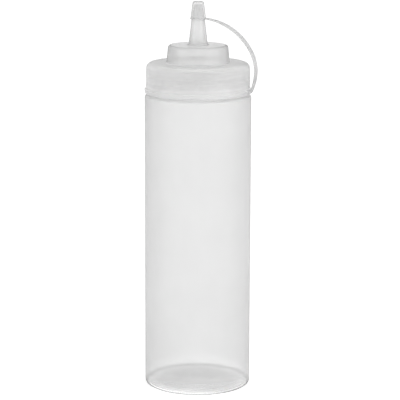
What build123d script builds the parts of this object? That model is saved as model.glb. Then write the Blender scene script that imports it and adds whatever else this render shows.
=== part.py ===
from build123d import *
import os

# Condiment squeeze bottle, about 0.7 litre, standing on a table.
# Millimetres, +Z up, origin in the middle of the ring that the bottle stands on.
# The strap of the tip cap lies in the XZ plane, on the +X side.

# Blow-moulded bottle
body_diameter = 70.0
body_height = 194.4
body_wall = 1.1
foot_radius = 1.8
stand_ring_width = 6.7
push_up_depth = 3.2
shoulder_radius = 1.6
shoulder_rise = 1.0
neck_wall = 1.6
neck_height = 18.1
rim_chamfer = 0.4

# Sealing ring between the bottle's rim and the roof of the screw cap
ring_thickness = 0.9
ring_overhang = 0.3
ring_gap = 0.1

# Screw cap, moulded in one with its spout; its flange is flush with the bottle's body
cap_gap = 0.8
skirt_clearance = 2.3
skirt_wall = 1.55
skirt_draft = 0.2
skirt_edge_radius = 3.6
flange_width = 0.9
flange_height = 2.7
flange_chamfer = 0.3
deck_thickness = 1.3
dome_diameter = 41.4
dome_height = 11.5
dome_taper = 1.1
dome_edge_radius = 1.9
dome_foot_radius = 0.8
dome_wall = 1.3
spout_diameter = 12.7
spout_height = 16.2
spout_seat_diameter = 8.8
spout_foot_radius = 1.2
spout_wall = 1.0
spigot_diameter = 8.0
spigot_tip_diameter = 5.0
spigot_height = 9.6
spigot_chamfer = 0.3
orifice_diameter = 3.2
orifice_land = 4.0

# Tip cap, pushed over the spigot
tip_clearance = 0.5
tip_rim_gap = 0.3
tip_roof_gap = 0.4
tip_wall = 0.7
tip_roof = 1.9
tip_edge_radius = 0.9
gate_diameter = 2.6
gate_depth = 0.35
tip_lug_reach = 1.0

# Strap that ties the tip cap to the screw cap: places along its middle line
strap_thickness = 1.0
strap_width = 6.6
strap_chamfer = 0.25
strap_gap = 0.35
root_reach = 0.8
root_drop = 1.3
root_lean = 64.4
cap_lug_width = 8.0
cap_lug_reach = 0.75
belly_reach = 4.0
belly_rise = 12.0
crown_reach = 1.45
crown_rise = 25.2
bend_reach = 19.7
bend_drop = 8.4
strap_end_lift = 0.5

os.makedirs("parts", exist_ok=True)

# Heights that follow from the sizes above
neck_base = body_height + shoulder_rise
neck_rim = neck_base + neck_height
ring_base = neck_rim + ring_gap
deck_under = ring_base + ring_thickness + ring_gap
deck_top = deck_under + deck_thickness
cap_base = neck_base + cap_gap
flange_top = cap_base + flange_height
dome_top = deck_top + dome_height
seat = dome_top + spout_height
spigot_top = seat + spigot_height
tip_rim = seat + tip_rim_gap
tip_roof_under = spigot_top + tip_roof_gap
tip_top = tip_roof_under + tip_roof

# Radii that follow from the sizes above
body_radius = body_diameter / 2
body_bore = body_radius - body_wall
flange_radius = body_radius
skirt_radius = flange_radius - flange_width
skirt_top_radius = skirt_radius - skirt_draft
skirt_bore = skirt_radius - skirt_wall
neck_radius = skirt_bore - skirt_clearance
neck_bore = neck_radius - neck_wall
push_up_radius = body_radius - foot_radius - stand_ring_width
dome_radius = dome_diameter / 2
dome_top_radius = dome_radius - dome_taper
spout_radius = spout_diameter / 2
seat_radius = spout_seat_diameter / 2
spigot_radius = spigot_diameter / 2
spigot_tip_radius = spigot_tip_diameter / 2
orifice_radius = orifice_diameter / 2
tip_rim_bore = spigot_radius + tip_clearance
tip_roof_bore = spigot_tip_radius + tip_clearance
tip_rim_radius = tip_rim_bore + tip_wall
tip_top_radius = tip_roof_bore + tip_wall


def corner(profile, radius, height):
    """The corner of a turned profile that lies nearest to this radius and height."""
    return profile.vertices().sort_by_distance(Vector(radius, height, 0))[0]


# Bottle: a thin hollow body of revolution with a pushed-up bottom and a wide open neck
with BuildPart() as bottle:
    with BuildSketch(Plane.XZ) as outside:
        with BuildLine():
            TangentArc((0, push_up_depth), (push_up_radius, 0), tangent=(1, 0))
            Polyline(
                (push_up_radius, 0),
                (body_radius, 0),
                (body_radius, body_height),
                (neck_radius, neck_base),
                (neck_radius, neck_rim),
                (0, neck_rim),
                (0, push_up_depth),
            )
        make_face()
        fillet(corner(outside, body_radius, 0), foot_radius)
        fillet(corner(outside, body_radius, body_height), shoulder_radius)
        chamfer(corner(outside, neck_radius, neck_rim), rim_chamfer)
    revolve(axis=Axis.Z)
    with BuildSketch(Plane.XZ) as inside:
        with BuildLine():
            TangentArc((0, push_up_depth + body_wall), (push_up_radius, body_wall), tangent=(1, 0))
            Polyline(
                (push_up_radius, body_wall),
                (body_bore, body_wall),
                (body_bore, body_height - body_wall),
                (neck_bore, neck_base - body_wall),
                (neck_bore, neck_rim),
                (0, neck_rim),
                (0, push_up_depth + body_wall),
            )
        make_face()
        fillet(corner(inside, body_bore, body_wall), foot_radius)
        fillet(corner(inside, body_bore, body_height - body_wall), shoulder_radius)
    revolve(axis=Axis.Z, mode=Mode.SUBTRACT)
bottle.part.label = "bottle"
export_step(bottle.part, "parts/bottle.step")

# Sealing ring: a flat washer a little wider than the rim on both sides
with BuildPart() as sealing_ring:
    with BuildSketch(Plane.XY.offset(ring_base)):
        Circle(neck_radius + ring_overhang)
        Circle(neck_bore - ring_overhang, mode=Mode.SUBTRACT)
    extrude(amount=ring_thickness)
sealing_ring.part.label = "sealing_ring"
export_step(sealing_ring.part, "parts/sealing_ring.step")

# Screw cap: skirt with a flange at its foot, flat deck, raised dome and a tapered spout
# that ends in a narrower spigot with the orifice
root = (flange_radius + root_reach, flange_top - root_drop)
with BuildPart() as screw_cap:
    with BuildSketch(Plane.XZ) as shell:
        with BuildLine():
            Polyline(
                (skirt_bore, cap_base),
                (flange_radius, cap_base),
                (flange_radius, flange_top),
                (skirt_radius, flange_top),
                (skirt_top_radius, deck_top),
                (dome_radius, deck_top),
                (dome_top_radius, dome_top),
                (spout_radius, dome_top),
                (seat_radius, seat),
                (spigot_radius, seat),
                (spigot_tip_radius, spigot_top),
                (orifice_radius, spigot_top),
                (orifice_radius, spigot_top - orifice_land),
                (seat_radius - spout_wall, seat),
                (spout_radius - spout_wall, dome_top - dome_wall),
                (dome_top_radius - dome_wall, dome_top - dome_wall),
                (dome_radius - dome_wall, deck_under),
                (skirt_bore, deck_under),
                close=True,
            )
        make_face()
        chamfer(corner(shell, flange_radius, cap_base), flange_chamfer)
        chamfer(corner(shell, flange_radius, flange_top), flange_chamfer)
        fillet(corner(shell, skirt_top_radius, deck_top), skirt_edge_radius)
        fillet(corner(shell, skirt_bore, deck_under), skirt_edge_radius - skirt_wall)
        fillet(corner(shell, dome_radius, deck_top), dome_foot_radius)
        fillet(corner(shell, dome_top_radius, dome_top), dome_edge_radius)
        fillet(corner(shell, dome_top_radius - dome_wall, dome_top - dome_wall), dome_edge_radius)
        fillet(corner(shell, spout_radius, dome_top), spout_foot_radius)
        chamfer(corner(shell, spigot_tip_radius, spigot_top), spigot_chamfer)
    revolve(axis=Axis.Z)
    # Lug on the flange that the strap grows out of
    with BuildSketch(Plane.XY.offset(cap_base)):
        with Locations((root[0] + cap_lug_reach, 0)):
            Rectangle(
                root[0] + cap_lug_reach - skirt_bore - skirt_wall / 2,
                cap_lug_width,
                align=(Align.MAX, Align.CENTER),
            )
    extrude(amount=root[1] - strap_gap - cap_base)
screw_cap.part.label = "screw_cap"
export_step(screw_cap.part, "parts/screw_cap.step")

# Tip cap: a small tapered thimble with a dimple on top and a lug for the strap
strap_end = (tip_rim_radius + tip_lug_reach, tip_rim + strap_end_lift)
with BuildPart() as tip_cap:
    with BuildSketch(Plane.XZ) as thimble:
        with BuildLine():
            Polyline(
                (0, tip_rim),
                (tip_rim_radius, tip_rim),
                (tip_top_radius, tip_top),
                (0, tip_top),
                close=True,
            )
        make_face()
        fillet(corner(thimble, tip_top_radius, tip_top), tip_edge_radius)
    revolve(axis=Axis.Z)
    with BuildSketch(Plane.XY.offset(tip_top)):
        Circle(gate_diameter / 2)
    extrude(amount=-gate_depth, taper=20, mode=Mode.SUBTRACT)
    with BuildSketch(Plane.XZ):
        with Locations(strap_end):
            Rectangle(
                strap_end[0] - tip_rim_bore / 2,
                strap_thickness,
                align=(Align.MAX, Align.CENTER),
            )
    extrude(amount=strap_width / 2, both=True)
    with BuildSketch(Plane.XZ):
        with BuildLine():
            Polyline(
                (0, tip_rim - strap_thickness),
                (tip_rim_bore, tip_rim - strap_thickness),
                (tip_rim_bore, tip_rim),
                (tip_roof_bore, tip_roof_under),
                (0, tip_roof_under),
                close=True,
            )
        make_face()
    revolve(axis=Axis.Z, mode=Mode.SUBTRACT)
tip_cap.part.label = "tip_cap"
export_step(tip_cap.part, "parts/tip_cap.step")

# Strap: one flat ribbon along tangent arcs, parted at its two living hinges
belly = (flange_radius + belly_reach, root[1] + belly_rise)
crown = (flange_radius + crown_reach, root[1] + crown_rise)
bend = (strap_end[0] + bend_reach, strap_end[1] - bend_drop)
root_direction = Vector(1, 0, 0).rotate(Axis.Z, root_lean)


def ribbon_line(start, direction, stops):
    """Arcs from start through every stop, each tangent to the one before; gives the last direction."""
    for stop in stops:
        arc = TangentArc(start, stop, tangent=direction)
        start, direction = stop, arc % 1
    return direction


with BuildPart() as strap_lower:
    with BuildSketch(Plane.XZ):
        with BuildLine():
            bend_direction = ribbon_line(root, root_direction, [belly, crown, bend])
        trace(line_width=strap_thickness)
        with Locations(root):
            Rectangle(
                3 * strap_thickness,
                strap_thickness,
                align=(Align.CENTER, Align.MAX),
                mode=Mode.SUBTRACT,
            )
        bend_angle = Vector(1, 0, 0).get_signed_angle(bend_direction, Vector(0, 0, 1))
        with Locations(bend):
            Rectangle(strap_gap, 3 * strap_thickness, rotation=bend_angle, mode=Mode.SUBTRACT)
    extrude(amount=strap_width / 2, both=True)
    chamfer(strap_lower.edges().filter_by(GeomType.CIRCLE), strap_chamfer)
strap_lower.part.label = "strap_lower"
export_step(strap_lower.part, "parts/strap_lower.step")

with BuildPart() as strap_upper:
    with BuildSketch(Plane.XZ):
        with BuildLine():
            ribbon_line(bend, bend_direction, [strap_end])
        trace(line_width=strap_thickness)
        with Locations(bend):
            Rectangle(strap_gap, 3 * strap_thickness, rotation=bend_angle, mode=Mode.SUBTRACT)
        with Locations(strap_end):
            Rectangle(
                strap_thickness,
                3 * strap_thickness,
                align=(Align.MAX, Align.CENTER),
                mode=Mode.SUBTRACT,
            )
    extrude(amount=strap_width / 2, both=True)
    chamfer(strap_upper.edges().filter_by(GeomType.CIRCLE), strap_chamfer)
strap_upper.part.label = "strap_upper"
export_step(strap_upper.part, "parts/strap_upper.step")
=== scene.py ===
import math
import bpy
import numpy as np
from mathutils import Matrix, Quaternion, Vector


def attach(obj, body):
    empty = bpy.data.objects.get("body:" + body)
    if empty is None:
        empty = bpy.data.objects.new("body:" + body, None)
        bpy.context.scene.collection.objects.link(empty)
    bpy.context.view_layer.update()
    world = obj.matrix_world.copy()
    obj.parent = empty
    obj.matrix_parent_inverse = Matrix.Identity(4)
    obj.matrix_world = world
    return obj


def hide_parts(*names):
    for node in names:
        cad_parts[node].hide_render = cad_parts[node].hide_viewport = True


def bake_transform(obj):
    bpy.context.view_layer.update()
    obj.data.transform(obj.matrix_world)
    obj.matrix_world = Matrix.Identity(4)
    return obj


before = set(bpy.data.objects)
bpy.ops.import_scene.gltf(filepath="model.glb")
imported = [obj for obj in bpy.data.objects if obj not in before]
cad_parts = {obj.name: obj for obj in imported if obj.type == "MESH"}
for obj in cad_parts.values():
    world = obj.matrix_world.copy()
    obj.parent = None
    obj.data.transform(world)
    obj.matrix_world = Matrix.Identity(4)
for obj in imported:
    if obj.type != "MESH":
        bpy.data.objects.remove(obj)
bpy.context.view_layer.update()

# Camera
# A long lens 1.2 m off and well above the bottle looks down at it. The strap lies on +X, and the
# camera stands 17 degrees round from the front towards it. Lengths in this section are in metres.
camera_distance = 1.2
camera_azimuth = math.radians(17.0)
camera_elevation = math.radians(11.82)
camera_lean = math.radians(0.16)
lens_length_mm = 163.13
sensor_width_mm = 36.0
aim_height = 0.1242
aim_to_the_right = 0.0015


def direction(azimuth, elevation):
    """Unit vector that points azimuth round from the front, -Y, towards +X, and elevation up from the
    table: (sin azimuth cos elevation, -cos azimuth cos elevation, sin elevation)."""
    return Vector((
        math.sin(azimuth) * math.cos(elevation),
        -math.cos(azimuth) * math.cos(elevation),
        math.sin(elevation),
    ))


def placed(name, data):
    """New object in the scene, made of this camera, mesh or lamp."""
    made = bpy.data.objects.new(name, data)
    bpy.context.scene.collection.objects.link(made)
    return made


to_camera = direction(camera_azimuth, camera_elevation)
to_the_right = Vector((math.cos(camera_azimuth), math.sin(camera_azimuth), 0))
aim = Vector((0, 0, aim_height)) + aim_to_the_right * to_the_right
camera = placed("camera", bpy.data.cameras.new("camera"))
camera.data.lens = lens_length_mm
camera.data.sensor_width = sensor_width_mm
camera.location = aim + camera_distance * to_camera
camera.rotation_mode = "QUATERNION"
camera.rotation_quaternion = to_camera.to_track_quat("Z", "Y") @ Quaternion((0, 0, 1), camera_lean)
bpy.context.scene.camera = camera
bpy.context.scene.view_settings.view_transform = "Standard"

# Bottle
# Body, shoulder and neck are one blow moulding in natural low-density polyethylene, about 1.1 mm
# thick. The bottom is pushed up so that the bottle stands on a ring, and the neck has a right-hand
# thread of 4 mm pitch. From here on, sizes are in millimetres until a mesh is made.
body_radius = 35.0
body_wall = 1.1
shoulder_height = 194.4
foot_rounding = 1.8
shoulder_rounding = 1.6
push_up_radius = 26.5
push_up_depth = 3.2
push_up_margin = 1.2
push_up_rounding = 1.0
neck_radius = 30.25
neck_wall = 1.6
neck_base = 195.4
neck_rounding = 0.45
inner_neck_rounding = 1.0
plain_neck = 1.5
rim_height = 213.5
rim_depth = 3.0
thread_pitch = 4.0
thread_root_width = 2.0
thread_crest_width = 0.8
neck_thread_start = 199.9
neck_thread_turns = 2.5
neck_thread_depth = 1.5
parting_line_height = 0.08
parting_line_width = 0.45
barrel_bottom = 4.0
barrel_top = 190.5
barrel_fade = 12.0
blown_unevenness = 0.09
# Height and fade of the painted shadow line round the foot.
painted_foot_shadow_height = 1.9
painted_foot_shadow_fade = 0.9
thin_foot_height = 12.0
thin_foot_fade = 8.0


def rounded(corners, closed=False, steps=8):
    """Line through corners (across, up, rounding), each corner cut by an arc that is tangent to both
    of its runs. With half the corner's angle h, the arc starts rounding / tan(h) from the corner, and
    its centre is rounding / sin(h) from it on the bisector."""
    corners = np.array(corners, float)
    point, rounding = corners[:, :2], corners[:, 2:]
    if not closed:
        rounding[[0, -1]] = 0
    before, after = np.roll(point, 1, axis=0) - point, np.roll(point, -1, axis=0) - point
    before /= np.linalg.norm(before, axis=1, keepdims=True)
    after /= np.linalg.norm(after, axis=1, keepdims=True)
    half = np.arccos(np.clip((before * after).sum(1, keepdims=True), -1, 0.999999)) / 2
    bisector = before + after
    bisector /= np.maximum(np.linalg.norm(bisector, axis=1, keepdims=True), 1e-9)
    centre = point + bisector * rounding / np.sin(half)
    first = point + before * rounding / np.tan(half) - centre
    last = point + after * rounding / np.tan(half) - centre
    sweep = np.maximum(math.pi - 2 * half, 1e-6)[:, None, :]
    share = np.linspace(0, 1, steps + 1)[None, :, None]
    arcs = np.sin((1 - share) * sweep) * first[:, None] + np.sin(share * sweep) * last[:, None]
    line = (centre[:, None] + arcs / np.sin(sweep)).reshape(-1, 2)
    apart = np.linalg.norm(line - np.roll(line, 1, axis=0), axis=1) > 1e-6
    apart[0] = apart[0] or not closed
    return line[apart]


def finer(line, step, closed=False, long_run=0.8, near_end=0.2):
    """The same line with points added, so that neighbours are at most about a step apart. Each run over
    long_run also has a point near_end from both of its ends, which keeps the smooth shading of an arc
    out of the flat next to it."""
    line = np.vstack([line, line[:1]]) if closed else line
    length = np.linalg.norm(np.diff(line, axis=0), axis=1)
    at = np.concatenate([[0.0], np.cumsum(length)])
    long = length > long_run
    held = np.concatenate([at[:-1][long] + near_end, at[1:][long] - near_end])
    even = np.arange(0, at[-1], step)
    gap = np.min(np.abs(even[:, None] - np.concatenate([at, held])[None]), axis=1)
    every = np.sort(np.concatenate([at, held, even[gap > 0.05 * step]]))
    every = every[:-1] if closed else every
    return np.stack([np.interp(every, at, line[:, 0]), np.interp(every, at, line[:, 1])], axis=1)


def full_turn(columns):
    """Even angles all the way round, from +X on."""
    return np.linspace(0, 2 * math.pi, columns, endpoint=False)


def swept(line, angle):
    """Radius and height of each point of the line at each angle, as two grids[row, column]."""
    return np.repeat(line[:, :1], len(angle), axis=1), np.repeat(line[:, 1:], len(angle), axis=1)


def skinned(name, points, closed):
    """Mesh object through a grid of points[row, column]. The columns close on themselves. The rows do
    too if closed, and otherwise the first and the last row are each one point, with a fan round it."""
    rows, columns = points.shape[:2]
    if closed:
        vertices = points.reshape(-1, 3)
        here = np.arange(rows * columns).reshape(rows, columns)
        lower, upper = here, np.roll(here, -1, axis=0)
        fans = []
    else:
        vertices = np.concatenate([points[0, :1], points[1:-1].reshape(-1, 3), points[-1, :1]])
        here = np.arange((rows - 2) * columns).reshape(rows - 2, columns) + 1
        lower, upper = here[:-1], here[1:]
        start, end = np.zeros(columns, int), np.full(columns, len(vertices) - 1)
        fans = np.stack([start, np.roll(here[0], -1), here[0]], axis=1).tolist()
        fans += np.stack([here[-1], np.roll(here[-1], -1), end], axis=1).tolist()
    quads = np.stack([lower, np.roll(lower, -1, axis=1), np.roll(upper, -1, axis=1), upper], axis=-1)
    mesh = bpy.data.meshes.new(name)
    mesh.from_pydata((vertices * 0.001).tolist(), [], quads.reshape(-1, 4).tolist() + fans)
    mesh.shade_smooth()
    return placed(name, mesh)


def turned(name, radius, height, angle, closed=False):
    """Surface of revolution: row i and column j stand radius[i, j] from the axis, angle[j] round it and
    height[i, j] up."""
    points = np.stack([radius * np.cos(angle), radius * np.sin(angle), height], axis=-1)
    return skinned(name, points, closed)


def eased(share):
    """Smooth step from 0 to 1: 3 s squared - 2 s cubed, with s held between 0 and 1."""
    share = np.clip(share, 0, 1)
    return share * share * (3 - 2 * share)


def screw_ridge(height, angle, start, turns, root_width=thread_root_width):
    """How far a screw ridge stands up, from 0 to 1. A point's distance along the axis from the nearest
    turn of the helix height = start + pitch * angle / 2 pi goes through a trapezoid with eased flanks,
    and the ridge fades in and out over an eighth of a turn at its two ends."""
    along = (height - start) / thread_pitch - angle / (2 * math.pi)
    nearest = np.round(along)
    off = np.abs(along - nearest) * thread_pitch
    ridge = eased((root_width / 2 - off) / (root_width / 2 - thread_crest_width / 2))
    ran = nearest + angle / (2 * math.pi)
    return ridge * eased(ran / 0.125) * eased((turns - ran) / 0.125)


push_up_sphere = (push_up_radius**2 + push_up_depth**2) / (2 * push_up_depth)


def push_up_height(across):
    """Height of the pushed-up bottom at across: depth - R + sqrt(R squared - across squared), with R
    the radius of the sphere that falls by the depth from the axis to the edge."""
    return push_up_depth - push_up_sphere + np.sqrt(push_up_sphere**2 - across**2)


def push_up(lift):
    """Line along the pushed-up bottom, from the axis to a margin short of its edge, raised by lift."""
    across = np.linspace(0, push_up_radius - push_up_margin, 30)
    return np.stack([across, push_up_height(across) + lift], axis=1)


bottle_outside = rounded([
    (*push_up(0)[-1], 0),
    (push_up_radius, 0, push_up_rounding),
    (body_radius, 0, foot_rounding),
    (body_radius, shoulder_height, shoulder_rounding),
    (neck_radius, neck_base, neck_rounding),
    (neck_radius, neck_base + plain_neck, 0),
])
bottle_neck = rounded([
    (neck_radius, neck_base + plain_neck, 0),
    (neck_radius, rim_height, neck_rounding),
    (neck_radius - neck_wall, rim_height, neck_rounding),
    (neck_radius - neck_wall, rim_height - rim_depth, 0),
])
bottle_inside = rounded([
    (neck_radius - neck_wall, rim_height - rim_depth, 0),
    (neck_radius - neck_wall, neck_base - body_wall, inner_neck_rounding),
    (body_radius - body_wall, shoulder_height - body_wall, shoulder_rounding),
    (body_radius - body_wall, body_wall, foot_rounding),
    (push_up_radius, body_wall, push_up_rounding),
    (*push_up(body_wall)[-1], 0),
])
bottle_line = np.concatenate([
    push_up(0)[:-1],
    finer(bottle_outside, step=3.0)[:-1],
    finer(bottle_neck, step=0.25),
    finer(bottle_inside, step=3.0)[1:],
    push_up(body_wall)[-2::-1],
])
outer_rows = np.arange(len(bottle_line)) < len(bottle_line) // 2
outer = outer_rows[:, None]

# The columns are even, but for a few close ones that the two parting lines of the mould need.
near_parting = np.array([-0.5, -0.3, -0.15, 0.15, 0.3, 0.5]) / body_radius
bottle_angle = np.sort(np.concatenate([
    full_turn(192), near_parting % (2 * math.pi), math.pi + near_parting,
]))
bottle_radius, bottle_height = swept(bottle_line, bottle_angle)


def blown(height, angle):
    """Slow waves over the blown inner wall, round and along it, from about -1.6 to 1.6: a product of two
    sines, of which one drifts round with the height, plus a shorter sine."""
    waves = np.sin(height / 11.3 + 2 * np.sin(angle)) * np.sin(3 * angle + height / 29)
    return waves + 0.6 * np.sin(height / 6.1 - 1.7 * np.cos(2 * angle + 0.4))


# The outer wall follows the mould, with a parting line on either side: a ridge that falls away as the
# exponential of minus (distance / half its width) squared. The inner wall is as uneven as blown
# plastic is, by about a tenth of a millimetre.
on_barrel = eased((bottle_height - barrel_bottom) / barrel_fade) * (bottle_radius > body_radius - 2)
on_barrel *= eased((barrel_top - bottle_height) / barrel_fade)
bottle_radius -= blown_unevenness * blown(bottle_height, bottle_angle) * on_barrel * ~outer
from_parting = np.abs(np.sin(bottle_angle)) * body_radius
parting = np.exp(-(from_parting / (parting_line_width / 2)) ** 2)
moulded = outer * eased((bottle_radius - body_radius + 5) / 3) * (bottle_height < shoulder_height - 0.5)
bottle_radius += parting_line_height * parting * moulded
on_neck = (bottle_height > neck_base + 1) & (bottle_height < rim_height - 1)
on_neck &= bottle_radius > neck_radius - 0.5
bottle_radius += on_neck * outer * neck_thread_depth * screw_ridge(
    bottle_height, bottle_angle, neck_thread_start, neck_thread_turns
)
bottle = turned("bottle_shell", bottle_radius, bottle_height, bottle_angle)


def linear(hex_colour):
    """sRGB hex to a linear colour: s / 12.92 in dark tones, ((s + 0.055) / 1.055) to the 2.4 above."""
    s = np.array([int(hex_colour[i:i + 2], 16) / 255 for i in (1, 3, 5)])
    colour = np.where(s <= 0.04045, s / 12.92, ((s + 0.055) / 1.055) ** 2.4)
    return (*colour.tolist(), 1.0)


def emptied(owner):
    """Node tree of a new material or world, with no node in it yet."""
    owner.use_nodes = True
    owner.node_tree.nodes.clear()
    return owner.node_tree


def add_node(tree, kind, inputs=None, **settings):
    """Adds a node with its settings. Each input is linked if it is given a socket, and otherwise set."""
    made = tree.nodes.new(kind)
    for name, value in settings.items():
        setattr(made, name, value)
    for name, value in (inputs or {}).items():
        if isinstance(value, bpy.types.NodeSocket):
            tree.links.new(value, made.inputs[name])
        else:
            made.inputs[name].default_value = value
    return made


def milky_finish(name, dark, light, deep, cloud, grain, rough, glow, clear, painted_edge_shade):
    """Milky polyethylene wall. Its tone is a soft noise between dark and light, with patches of cloud
    millimetres, and goes over to deep by the mesh's grey attribute, which holds grey tone and painted
    shade. A fine noise of grain millimetres is in the gloss, about rough, and in the bump. Of the light
    that meets the wall squarely the clear share goes straight through, and at a slant clear to the
    power (1 - thinner) / cosine of the slant, which is how far it has to go through the wall. Of the
    rest the glow share comes out scattered on the far side. The last argument weighs a grey coat of
    very low index, which paints the wall darker where it is seen edge on: painted edge shade."""
    made = bpy.data.materials.new(name)
    tree = emptied(made)
    place = add_node(tree, "ShaderNodeTexCoord").outputs["Object"]
    clouds = add_node(tree, "ShaderNodeTexNoise", {"Vector": place, "Scale": 1000 / cloud, "Detail": 2.0})
    tone = add_node(tree, "ShaderNodeValToRGB", {"Fac": clouds.outputs["Fac"]})
    for stop, position, shade in zip(tone.color_ramp.elements, (0.35, 0.65), (dark, light)):
        stop.position, stop.color = position, linear(shade)
    # This attribute holds both grey tone and painted shade: the shadow line at the foot and the shade over
    # the cap's hollow.
    grey_tone_and_painted_shade = add_node(tree, "ShaderNodeAttribute", attribute_name="grey_tone_and_painted_shade")
    colour = add_node(tree, "ShaderNodeMix", {
        0: grey_tone_and_painted_shade.outputs["Fac"], 6: tone.outputs["Color"], 7: linear(deep),
    }, data_type="RGBA")
    grit = add_node(tree, "ShaderNodeTexNoise", {"Vector": place, "Scale": 1000 / grain, "Detail": 2.0})
    satin = add_node(tree, "ShaderNodeMapRange", {
        "Value": grit.outputs["Fac"], "To Min": rough - 0.05, "To Max": rough + 0.05,
    })
    bump = add_node(tree, "ShaderNodeBump", {
        "Height": grit.outputs["Fac"], "Strength": 0.06, "Distance": 0.0002,
    })
    surface = add_node(tree, "ShaderNodeBsdfPrincipled", {
        "Base Color": colour.outputs[2],
        "Roughness": satin.outputs["Result"],
        "IOR": 1.51,
        "Specular IOR Level": 0.9,
        # The grey coat paints the wall darker where it is seen edge on: painted edge shade.
        "Coat Weight": painted_edge_shade,
        "Coat Roughness": rough,
        "Coat IOR": 1.02,
        "Coat Tint": linear("#E1E1E1"),
        "Normal": bump.outputs["Normal"],
    })
    scattered = add_node(tree, "ShaderNodeBsdfTranslucent", {
        "Color": colour.outputs[2], "Normal": bump.outputs["Normal"],
    })
    milk = add_node(tree, "ShaderNodeMixShader", {
        0: glow, 1: surface.outputs[0], 2: scattered.outputs[0],
    })
    straight = add_node(tree, "ShaderNodeBsdfTransparent", {"Color": linear("#FFFFFF")})
    slant = add_node(tree, "ShaderNodeLayerWeight", {"Blend": 0.5})
    cosine = add_node(tree, "ShaderNodeMath", {0: 1.0, 1: slant.outputs["Facing"]}, operation="SUBTRACT")
    thinner = add_node(tree, "ShaderNodeAttribute", attribute_name="thinner")
    wall = add_node(tree, "ShaderNodeMath", {0: 1.0, 1: thinner.outputs["Fac"]}, operation="SUBTRACT")
    way = add_node(tree, "ShaderNodeMath", {0: wall.outputs[0], 1: cosine.outputs[0]}, operation="DIVIDE")
    share = add_node(tree, "ShaderNodeMath", {0: clear, 1: way.outputs[0]}, operation="POWER")
    whole = add_node(tree, "ShaderNodeMixShader", {
        0: share.outputs[0], 1: milk.outputs[0], 2: straight.outputs[0],
    })
    add_node(tree, "ShaderNodeOutputMaterial", {"Surface": whole.outputs[0]})
    return made


def marked(made, attribute, share):
    """Keeps share[row, column] on the points of a piece made by skinned, for its material to read."""
    if share.size != len(made.data.vertices):
        share = np.concatenate([share[0, :1], share[1:-1].reshape(-1), share[-1, :1]])
    made.data.attributes.new(attribute, "FLOAT", "POINT").data.foreach_set("value", share.reshape(-1))


def finished(made, finish, columns, *runs):
    """Gives the piece its finish, and each run (first row, last row, finish) of its grid one of its own."""
    made.data.materials.append(finish)
    row = np.arange(len(made.data.polygons)) // columns
    slots = np.zeros(len(row), np.int32)
    for first, last, other in runs:
        made.data.materials.append(other)
        slots[(row >= first) & (row < last)] = len(made.data.materials) - 1
    made.data.polygons.foreach_set("material_index", slots)


def first_row(reached):
    """Number of the first row where reached is true."""
    return np.flatnonzero(reached)[0]


# Natural low-density polyethylene, blow-moulded: milky, so that shapes close behind the wall show
# softly and far ones hardly at all. The mould was blasted to let the air out, which gives a satin
# surface. Its grit is about 0.05 mm and is drawn at 0.8 mm, as coarse as it needs to show.
# Its grey coat paints the edges darker, as painted edge shade, and its deep grey is the painted shadow line
# round the foot.
ldpe = milky_finish(
    "natural_ldpe_blow_moulded", dark="#F6F6F6", light="#FAFAFA", deep="#8C8C8C",
    cloud=36, grain=0.8, rough=0.36, glow=0.45, clear=0.62, painted_edge_shade=0.62,
)
# The inside of the wall never touched the mould, so it is smooth, and most light goes through it.
ldpe_inside = milky_finish(
    "natural_ldpe_inner_face", dark="#F6F6F6", light="#FAFAFA", deep="#E0E0E0",
    cloud=36, grain=2.5, rough=0.25, glow=0.5, clear=0.85, painted_edge_shade=0.0,
)
# The wall is blown thinnest in the corner of the foot, where it stretches most, and light comes
# through there. Along the rounding a thin grey, less clear line is painted as the shadow where the
# foot meets the table, and the body is a trace greyer towards the shoulder.
painted_foot_shadow = eased((painted_foot_shadow_height - bottle_height) / painted_foot_shadow_fade) * outer
painted_foot_shadow *= bottle_radius > body_radius - 2
up_the_body = eased((bottle_height - 20) / 170) * (bottle_height < shoulder_height + 0.5)
stretched = eased((thin_foot_height - bottle_height) / thin_foot_fade) * (bottle_radius > body_radius - 1.5)
marked(bottle, "grey_tone_and_painted_shade", painted_foot_shadow + 0.06 * up_the_body)
marked(bottle, "thinner", 0.7 * stretched - 0.55 * painted_foot_shadow)
inner_run = (first_row(~outer_rows), len(bottle_line) - 3, ldpe_inside)
finished(bottle, ldpe, len(bottle_angle), inner_run)
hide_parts("bottle")
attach(bottle, "bottle")

# Pinch-off weld
# The low bar across the bottom where the two halves of the mould closed on the tube of soft plastic
# and cut it. A round section runs along the parting plane and follows the pushed-up bottom. Its size
# goes with the square root of 1 - x to the eighth, x from -1 to 1, so that it closes at both ends.
weld_length = 34.0
weld_width = 1.1
weld_height = 0.35
weld_sunk = 0.1
weld_along = np.linspace(-1, 1, 49)[:, None]
weld_round = full_turn(16)[None, :]
weld_size = np.sqrt(np.clip(1 - weld_along**8, 0, 1))
weld_x = weld_along * weld_length / 2 + 0 * weld_round
weld = skinned("pinch_off_weld", np.stack([
    weld_x,
    -weld_size * weld_width / 2 * np.sin(weld_round),
    push_up_height(weld_x) + weld_sunk - weld_size * weld_height * np.cos(weld_round),
], axis=-1), closed=False)
weld.data.materials.append(ldpe)
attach(weld, "bottle")

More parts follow.
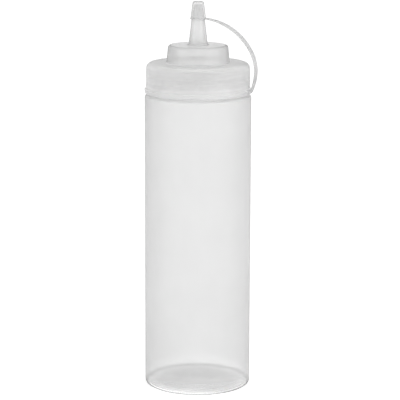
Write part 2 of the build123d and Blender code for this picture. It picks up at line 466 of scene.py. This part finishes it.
# Sealing ring
# A washer cut from white silicone sheet, 0.9 mm thick. It lies under the cap's roof, and the rim of
# the neck presses a shallow groove into it.
ring_overhang = 0.3
ring_clearance = 0.1
ring_thickness = 0.9
ring_inner_radius = neck_radius - neck_wall - ring_overhang
ring_outer_radius = neck_radius + ring_overhang
ring_base = rim_height + ring_clearance
ring_top = ring_base + ring_thickness
ring_edge = 0.12
ring_groove_depth = 0.08
ring_groove_half_width = 0.84
ring_groove_flank = 0.6
ring_groove_radius = neck_radius - neck_wall / 2
ring_line = finer(rounded([
    (ring_inner_radius, ring_base, ring_edge),
    (ring_outer_radius, ring_base, ring_edge),
    (ring_outer_radius, ring_top, ring_edge),
    (ring_inner_radius, ring_top, ring_edge),
], closed=True, steps=4), step=0.15, closed=True)
ring_angle = full_turn(160)
ring_radius, ring_height = swept(ring_line, ring_angle)
from_groove = np.abs(ring_radius - ring_groove_radius)
ring_groove = eased((ring_groove_half_width - from_groove) / ring_groove_flank)
ring_height += ring_groove_depth * ring_groove * (ring_height < ring_base + ring_thickness / 2)
sealing_ring = turned("sealing_ring_washer", ring_radius, ring_height, ring_angle, closed=True)

# White silicone rubber: matt and slightly soft, with the fine texture of the sheet it was cut from,
# which is drawn at 1.1 mm, as coarse as it needs to show.
silicone = bpy.data.materials.new("white_silicone_rubber")
tree = emptied(silicone)
place = add_node(tree, "ShaderNodeTexCoord").outputs["Object"]
dust = add_node(tree, "ShaderNodeTexNoise", {"Vector": place, "Scale": 900.0, "Detail": 3.0})
dust_tone = add_node(tree, "ShaderNodeValToRGB", {"Fac": dust.outputs["Fac"]})
for stop, position, shade in zip(dust_tone.color_ramp.elements, (0.3, 0.7), ("#DDDDDA", "#E6E6E4")):
    stop.position, stop.color = position, linear(shade)
rubber_bump = add_node(tree, "ShaderNodeBump", {
    "Height": dust.outputs["Fac"], "Strength": 0.2, "Distance": 0.0001,
})
rubber_gloss = add_node(tree, "ShaderNodeMapRange", {
    "Value": dust.outputs["Fac"], "To Min": 0.55, "To Max": 0.7,
})
rubber = add_node(tree, "ShaderNodeBsdfPrincipled", {
    "Base Color": dust_tone.outputs["Color"],
    "Roughness": rubber_gloss.outputs["Result"],
    "IOR": 1.42,
    "Normal": rubber_bump.outputs["Normal"],
})
add_node(tree, "ShaderNodeOutputMaterial", {"Surface": rubber.outputs["BSDF"]})
sealing_ring.data.materials.append(silicone)
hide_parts("sealing_ring")
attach(sealing_ring, "sealing_ring")

# Screw cap
# One injection moulding in natural polyethylene: a skirt with a flange at its foot and the thread
# inside, a flat deck, a raised dome, and a hollow tapered spout that ends in a narrower spigot.
cap_base = 196.2
flange_radius = body_radius
flange_top = 198.9
flange_reach = 0.9
skirt_wall = 1.55
skirt_taper = 0.2
skirt_radius = flange_radius - flange_reach
skirt_top_radius = skirt_radius - skirt_taper
skirt_bore = skirt_radius - skirt_wall
deck_height = 215.9
cap_wall = 1.3
dome_radius = 20.7
dome_top_radius = 19.6
dome_height = 227.4
spout_radius = 6.35
spout_wall = 1.0
seat_radius = 4.4
seat_height = 243.6
spigot_radius = 4.0
spigot_tip_radius = 2.5
spigot_height = 253.2
orifice_radius = 1.6
orifice_land = 4.0
bore_low = 196.5
bore_high = 212.5
cap_thread_start = neck_thread_start - thread_pitch / 2
cap_thread_turns = 3.0
cap_thread_depth = 1.4
cap_line = finer(rounded([
    (skirt_bore, cap_base, 0.3),
    (flange_radius, cap_base, 0.5),
    (flange_radius, flange_top, 0.5),
    (skirt_radius, flange_top, 0.25),
    (skirt_top_radius, deck_height, 3.6),
    (dome_radius, deck_height, 0.8),
    (dome_top_radius, dome_height, 1.9),
    (spout_radius, dome_height, 1.2),
    (seat_radius, seat_height, 0.1),
    (spigot_radius, seat_height, 0.1),
    (spigot_tip_radius, spigot_height, 0.4),
    (orifice_radius, spigot_height, 0.3),
    (orifice_radius, spigot_height - orifice_land, 0.8),
    (seat_radius - spout_wall, seat_height, 2.0),
    (spout_radius - spout_wall, dome_height - cap_wall, 0.8),
    (dome_top_radius - cap_wall, dome_height - cap_wall, 1.9),
    (dome_radius - cap_wall, deck_height - cap_wall, 0.8),
    (skirt_bore, deck_height - cap_wall, 2.05),
], closed=True), step=0.6, closed=True)

# The thread needs closer rows than the rest of the cap. They take the place of the line's own rows
# on the bore, which are its last.
on_bore = (np.abs(cap_line[:, 0] - skirt_bore) < 0.1) & (cap_line[:, 1] < bore_high)
threaded = on_bore & (cap_line[:, 1] > bore_low + 0.01)
thread_rows = np.arange(bore_low + 0.2, bore_high - 0.1, 0.25)[::-1]
cap_line = np.concatenate([
    cap_line[~threaded], np.stack([np.full_like(thread_rows, skirt_bore), thread_rows], axis=1),
])
cap_angle = full_turn(192)
cap_radius, cap_height = swept(cap_line, cap_angle)
cap_radius[-len(thread_rows):] -= cap_thread_depth * screw_ridge(
    cap_height[-len(thread_rows):], cap_angle, cap_thread_start, cap_thread_turns
)
screw_cap = turned("screw_cap_moulding", cap_radius, cap_height, cap_angle, closed=True)

# Natural polyethylene, injection-moulded. The skirt and the deck come from finely spark-eroded steel
# and are satin: the grain is about 0.1 mm and is drawn at 0.7 mm, as coarse as it needs to show.
# Its grey coat paints the edges a little darker: painted edge shade.
satin_pe = milky_finish(
    "natural_polyethylene_satin_moulded", dark="#FBFBFB", light="#FEFEFE", deep="#F8F8F8",
    cloud=17, grain=0.7, rough=0.34, glow=0.45, clear=0.60, painted_edge_shade=0.36,
)
# The walls of the dome and the spout come from polished steel, so they are glossier, with bright
# streaks, and a strong grey coat paints their edges darker: painted edge shade.
polished_pe = milky_finish(
    "natural_polyethylene_polished", dark="#FBFBFB", light="#FEFEFE", deep="#F4F4F4",
    cloud=17, grain=0.7, rough=0.15, glow=0.35, clear=0.55, painted_edge_shade=0.9,
)
# The top of the dome and every inner face left the mould smooth, and let the most light through.
# A faint grey coat paints its edges a trace darker: painted edge shade.
clear_pe = milky_finish(
    "natural_polyethylene_smooth_face", dark="#FBFBFB", light="#FEFEFE", deep="#F4F4F4",
    cloud=17, grain=2.0, rough=0.20, glow=0.45, clear=0.80, painted_edge_shade=0.1,
)
# Where the thread is, the skirt's wall is thicker and less clear, and up the spout the wall thins.
# The skirt has the neck behind it and is left whiter. The deck and the dome are single walls over a
# hollow, and are painted a shade greyer for the shade of the hollow behind them; up the spout the
# painted shade goes.
thread_shows = screw_ridge(cap_height, cap_angle, cap_thread_start, cap_thread_turns, root_width=2.4)
thread_shows *= (cap_radius > skirt_bore + 0.95) & (cap_height < bore_high)
up_the_spout = eased((cap_height - dome_height - 1.6) / 8)
grey_gone = eased((cap_height - dome_height - 0.6) / 9)
painted_hollow_shade = eased((cap_height - deck_height + 2.3) / 1.8)
marked(screw_cap, "thinner", 0.22 * up_the_spout - 0.4 * thread_shows)
marked(screw_cap, "grey_tone_and_painted_shade", painted_hollow_shade * (1 - 0.9 * grey_gone))
dome_row = first_row((cap_line[:, 0] < dome_radius + 0.1) & (cap_line[:, 1] > deck_height + 0.3))
top_row = first_row(cap_line[:, 0] < dome_top_radius - 1.7)
spout_row = first_row(cap_line[:, 0] < spout_radius + 1.25)
orifice_row = first_row(cap_line[:, 0] < orifice_radius + 0.01)
finished(
    screw_cap, satin_pe, len(cap_angle),
    (dome_row, top_row, polished_pe), (top_row, spout_row, clear_pe),
    (spout_row, orifice_row, polished_pe), (orifice_row, len(cap_line), clear_pe),
)
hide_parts("screw_cap")
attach(screw_cap, "screw_cap")

# Tip cap
# A tapered thimble that closes the spigot, moulded in one with its strap. It has a bead round its
# rim to lift it by, and a round dimple on top where the plastic was let into the mould.
tip_clearance = 0.5
tip_wall = 0.7
tip_rim_gap = 0.3
tip_roof_gap = 0.4
tip_roof = 1.9
tip_rim = seat_height + tip_rim_gap
tip_roof_under = spigot_height + tip_roof_gap
tip_top = tip_roof_under + tip_roof
tip_rim_bore = spigot_radius + tip_clearance
tip_roof_bore = spigot_tip_radius + tip_clearance
bead_radius = 5.35
bead_height = 0.9
above_bead_radius = 4.98
above_bead_height = 1.2
dimple_radius = 1.4
dimple_depth = 0.35
tip_line = finer(rounded([
    (0, tip_roof_under, 0),
    (tip_roof_bore, tip_roof_under, 0.5),
    (tip_rim_bore, tip_rim, 0.15),
    (bead_radius, tip_rim, 0.3),
    (bead_radius, tip_rim + bead_height, 0.35),
    (above_bead_radius, tip_rim + above_bead_height, 0.3),
    (tip_roof_bore + tip_wall, tip_top, 0.9),
    (dimple_radius, tip_top, 0.15),
    (dimple_radius - 0.2, tip_top - dimple_depth, 0.15),
    (0, tip_top - dimple_depth, 0),
]), step=0.5)
tip_angle = full_turn(96)
tip_radius, tip_height = swept(tip_line, tip_angle)
tip_cap = turned("tip_cap_thimble", tip_radius, tip_height, tip_angle)

# It is polished outside and smooth inside. It covers the spigot, and its top is the thickest wall
# of all, which looks greyer and less clear.
tip_thick = eased((tip_height - tip_roof_under + 0.1) / 1.5)
marked(tip_cap, "grey_tone_and_painted_shade", tip_thick)
marked(tip_cap, "thinner", 0.35 * (1 - tip_thick))
tip_rim_row = first_row(tip_line[:, 1] < tip_rim + 0.1)
finished(tip_cap, polished_pe, len(tip_angle), (0, tip_rim_row, clear_pe))
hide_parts("tip_cap")
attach(tip_cap, "tip_cap")

# Strap
# A flat ribbon, moulded in one with the tip cap and the flange, 1 mm thick and 6.6 mm wide. It
# leaves the flange at a thinned root, bows out to +X, and narrows towards the tip cap.
strap_width = 6.6
strap_thickness = 1.0
strap_inner_end = 33.3
root = (flange_radius + 0.8, flange_top - 1.3)
root_lean = math.radians(64.4)
root_turn_radius = 1.42
foot = (
    root[0] - root_turn_radius * math.sin(root_lean),
    root[1] - root_turn_radius * (1 - math.cos(root_lean)),
)
belly = (flange_radius + 4.0, root[1] + 12.0)
crown = (flange_radius + 1.45, root[1] + 25.2)
tip_lug = (6.2, tip_rim + 0.5)
bend = (tip_lug[0] + 19.7, tip_lug[1] - 8.4)
strap_end = (4.85, tip_lug[1] + 0.05)


def arc_run(start, heading, stop, steps):
    """Arc that leaves start along heading and reaches stop. It turns by twice the angle from heading to
    the chord, with radius = chord / (2 sin(turn / 2)). Gives its points and the heading at each."""
    chord = np.subtract(stop, start)
    turn = 2 * ((math.atan2(chord[1], chord[0]) - heading + math.pi) % (2 * math.pi) - math.pi)
    radius = np.hypot(*chord) / (2 * math.sin(turn / 2))
    headings = heading + turn * np.linspace(0, 1, steps)
    across = radius * (np.sin(headings) - math.sin(heading))
    up = radius * (math.cos(heading) - np.cos(headings))
    return np.stack([start[0] + across, start[1] + up], axis=1), headings


strap_stops = [foot, root, belly, crown, bend, tip_lug, strap_end]
strap_steps = [14, 36, 36, 48, 60, 8]
strap_points = [np.array([(strap_inner_end, foot[1]), foot])]
strap_headings = [np.zeros(2)]
for start, stop, steps in zip(strap_stops, strap_stops[1:], strap_steps):
    points, headings = arc_run(start, strap_headings[-1][-1], stop, steps)
    strap_points.append(points[1:])
    strap_headings.append(headings[1:])
strap_points, strap_headings = np.concatenate(strap_points), np.concatenate(strap_headings)
strap_run = np.linalg.norm(np.diff(strap_points, axis=0), axis=1)
strap_ran = np.concatenate([[0], np.cumsum(strap_run)])
strap_length = strap_ran[-1]
strap_section = finer(rounded([
    (-strap_width / 2, strap_thickness / 2, 0.3),
    (strap_width / 2, strap_thickness / 2, 0.3),
    (strap_width / 2, -strap_thickness / 2, 0.3),
    (-strap_width / 2, -strap_thickness / 2, 0.3),
], closed=True, steps=5), step=0.6, closed=True)


def ribbon(name, first, last, slimmer=0.0):
    """Strap between two lengths along its line: each section is the rounded rectangle, scaled to the
    width and thickness there and set square to the line. It flares by 15% at the root, thins by 28%
    just after it, and tapers over the last 16 mm. The first millimetre is slimmer by a share, so that
    it slips into the length before it."""
    ran = strap_ran[(strap_ran > first + 0.05) & (strap_ran < last - 0.05)]
    ran = np.concatenate([[first], ran, [last]])
    x, z = np.interp(ran, strap_ran, strap_points[:, 0]), np.interp(ran, strap_ran, strap_points[:, 1])
    heading = np.interp(ran, strap_ran, strap_headings)
    taper = eased((ran - strap_length + 16) / 14)
    wide = 1 + 0.15 * (1 - eased(ran / 3.2)) - 0.24 * taper
    thick = 1 - 0.28 * np.exp(-((ran - 2.6) / 0.9) ** 2) - 0.12 * taper
    slip = 1 - slimmer * eased((first + 1.2 - ran) / 0.4)
    rows = np.arange(len(ran))
    order = np.concatenate([[0], rows, [rows[-1]]])
    open_up = np.ones(len(order))
    open_up[[0, -1]] = 0
    across = strap_section[None, :, 0] * (wide * slip)[order, None] * open_up[:, None]
    off = strap_section[None, :, 1] * (thick * slip)[order, None] * open_up[:, None]
    x, z, heading = x[order, None], z[order, None], heading[order, None]
    points = np.stack([x - off * np.sin(heading), across, z + off * np.cos(heading)], axis=-1)
    return skinned(name, points, closed=False)


strap_root = ribbon("strap_root", 0.0, 12.0)
strap_ribbon = ribbon("strap_ribbon", 10.8, strap_length, slimmer=0.06)

# The same natural polyethylene, in a length thin enough to bend for good: light and milky along the
# face, and painted darker along the rounded edges by a grey coat: painted edge shade.
strap_pe = milky_finish(
    "natural_polyethylene_thin_strap", dark="#F9F9F9", light="#FCFCFC", deep="#F0F0F0",
    cloud=17, grain=0.7, rough=0.36, glow=0.35, clear=0.30, painted_edge_shade=0.5,
)
strap_root.data.materials.append(strap_pe)
strap_ribbon.data.materials.append(strap_pe)
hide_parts("strap_lower", "strap_upper")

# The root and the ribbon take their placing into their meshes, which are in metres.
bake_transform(strap_root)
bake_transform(strap_ribbon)

# Table
# A plain white table in matt paint. Seen by the camera, in gloss or through a clear wall it glows as
# white as the surround, but the glow is painted greyer close to the bottle as its shadow, darkest
# under the pushed-up bottom. Lengths from here on are in metres.
table_reach = 4.0
table_mesh = bpy.data.meshes.new("floor")
table_mesh.from_pydata([
    (-table_reach, -table_reach, 0), (table_reach, -table_reach, 0),
    (table_reach, table_reach, 0), (-table_reach, table_reach, 0),
], [], [(0, 1, 2, 3)])
table = placed("floor", table_mesh)


def seen(tree):
    """1 where the camera sees a thing directly, in a reflection or through a clear wall, and 0 where
    it only sends its light on."""
    rays = add_node(tree, "ShaderNodeLightPath")
    camera_or_glossy = add_node(tree, "ShaderNodeMath", {
        0: rays.outputs["Is Camera Ray"], 1: rays.outputs["Is Glossy Ray"],
    }, operation="MAXIMUM")
    return add_node(tree, "ShaderNodeMath", {
        0: camera_or_glossy.outputs[0], 1: rays.outputs["Is Transmission Ray"],
    }, operation="MAXIMUM").outputs[0]


table_paint = bpy.data.materials.new("white_table_matt_paint")
tree = emptied(table_paint)
paint = add_node(tree, "ShaderNodeBsdfDiffuse", {"Color": linear("#E6E6E6")})
place = add_node(tree, "ShaderNodeTexCoord").outputs["Object"]
away = add_node(tree, "ShaderNodeVectorMath", {0: place}, operation="LENGTH").outputs["Value"]
share_away = add_node(tree, "ShaderNodeMapRange", {"Value": away, "From Max": 1.2})
# The glow ramp paints the bottle's shadow: greyer under and round the foot, white far off.
glow_with_painted_shadow = add_node(tree, "ShaderNodeValToRGB", {"Fac": share_away.outputs["Result"]})
glow_with_painted_shadow.color_ramp.elements.new(0.030)
for stop, position, grey in zip(glow_with_painted_shadow.color_ramp.elements, (0.019, 0.030, 1.0), (0.45, 0.60, 1.0)):
    stop.position, stop.color = position, (grey, grey, grey, 1)
# A painted pool of light: the glow is painted white inside the front of the foot, standing in for
# light that comes in under the front of the wall.
side = add_node(tree, "ShaderNodeSeparateXYZ", {0: place})
front = add_node(tree, "ShaderNodeMapRange", {
    "Value": side.outputs["Y"], "From Min": -0.019, "From Max": -0.027, "To Max": 0.65,
})
inside = add_node(tree, "ShaderNodeMath", {0: away, 1: 0.0345}, operation="LESS_THAN")
painted_light_pool = add_node(tree, "ShaderNodeMath", {
    0: front.outputs["Result"], 1: inside.outputs[0],
}, operation="MULTIPLY")
glow_with_painted_light = add_node(tree, "ShaderNodeMix", {
    0: painted_light_pool.outputs[0], 6: glow_with_painted_shadow.outputs["Color"], 7: linear("#FFFFFF"),
}, data_type="RGBA")
glow = add_node(tree, "ShaderNodeEmission", {"Color": glow_with_painted_light.outputs[2], "Strength": 1.0})
lit = add_node(tree, "ShaderNodeAddShader", {0: paint.outputs[0], 1: glow.outputs[0]})
shown = add_node(tree, "ShaderNodeMixShader", {0: seen(tree), 1: paint.outputs[0], 2: lit.outputs[0]})
add_node(tree, "ShaderNodeOutputMaterial", {"Surface": shown.outputs[0]})
table_mesh.materials.append(table_paint)

# Light
# Soft light: two upright softboxes, one at each side of the camera, a lamp overhead, and an even
# surround that is white to the eye and gives little light.
world = bpy.data.worlds.new("studio")
bpy.context.scene.world = world
tree = emptied(world)
level = add_node(tree, "ShaderNodeMapRange", {"Value": seen(tree), "To Min": 0.22, "To Max": 1.0})
surround = add_node(tree, "ShaderNodeBackground", {
    "Color": linear("#FFFFFF"), "Strength": level.outputs["Result"],
})
add_node(tree, "ShaderNodeOutputWorld", {"Surface": surround.outputs["Background"]})

bottle_middle = Vector((0, 0, 0.125))


def soft_lamp(name, azimuth, elevation, distance, wide, high, radiance):
    """Rectangular lamp at an angle in degrees round from the camera and up from the table, metres from
    the bottle's middle and turned to it. Its power is radiance * pi * its area."""
    towards = direction(camera_azimuth + math.radians(azimuth), math.radians(elevation))
    lamp = placed(name, bpy.data.lights.new(name, "AREA"))
    lamp.data.shape = "RECTANGLE"
    lamp.data.size = wide
    lamp.data.size_y = high
    lamp.data.energy = radiance * math.pi * wide * high
    lamp.location = bottle_middle + distance * towards
    lamp.rotation_mode = "QUATERNION"
    lamp.rotation_quaternion = towards.to_track_quat("Z", "Y")


soft_lamp("left_soft", azimuth=-60, elevation=8, distance=1.3, wide=0.9, high=1.5, radiance=2.15)
soft_lamp("right_soft", azimuth=56, elevation=8, distance=1.3, wide=1.2, high=1.5, radiance=2.2)
soft_lamp("top_soft", azimuth=0, elevation=84, distance=1.4, wide=1.2, high=1.2, radiance=1.7)
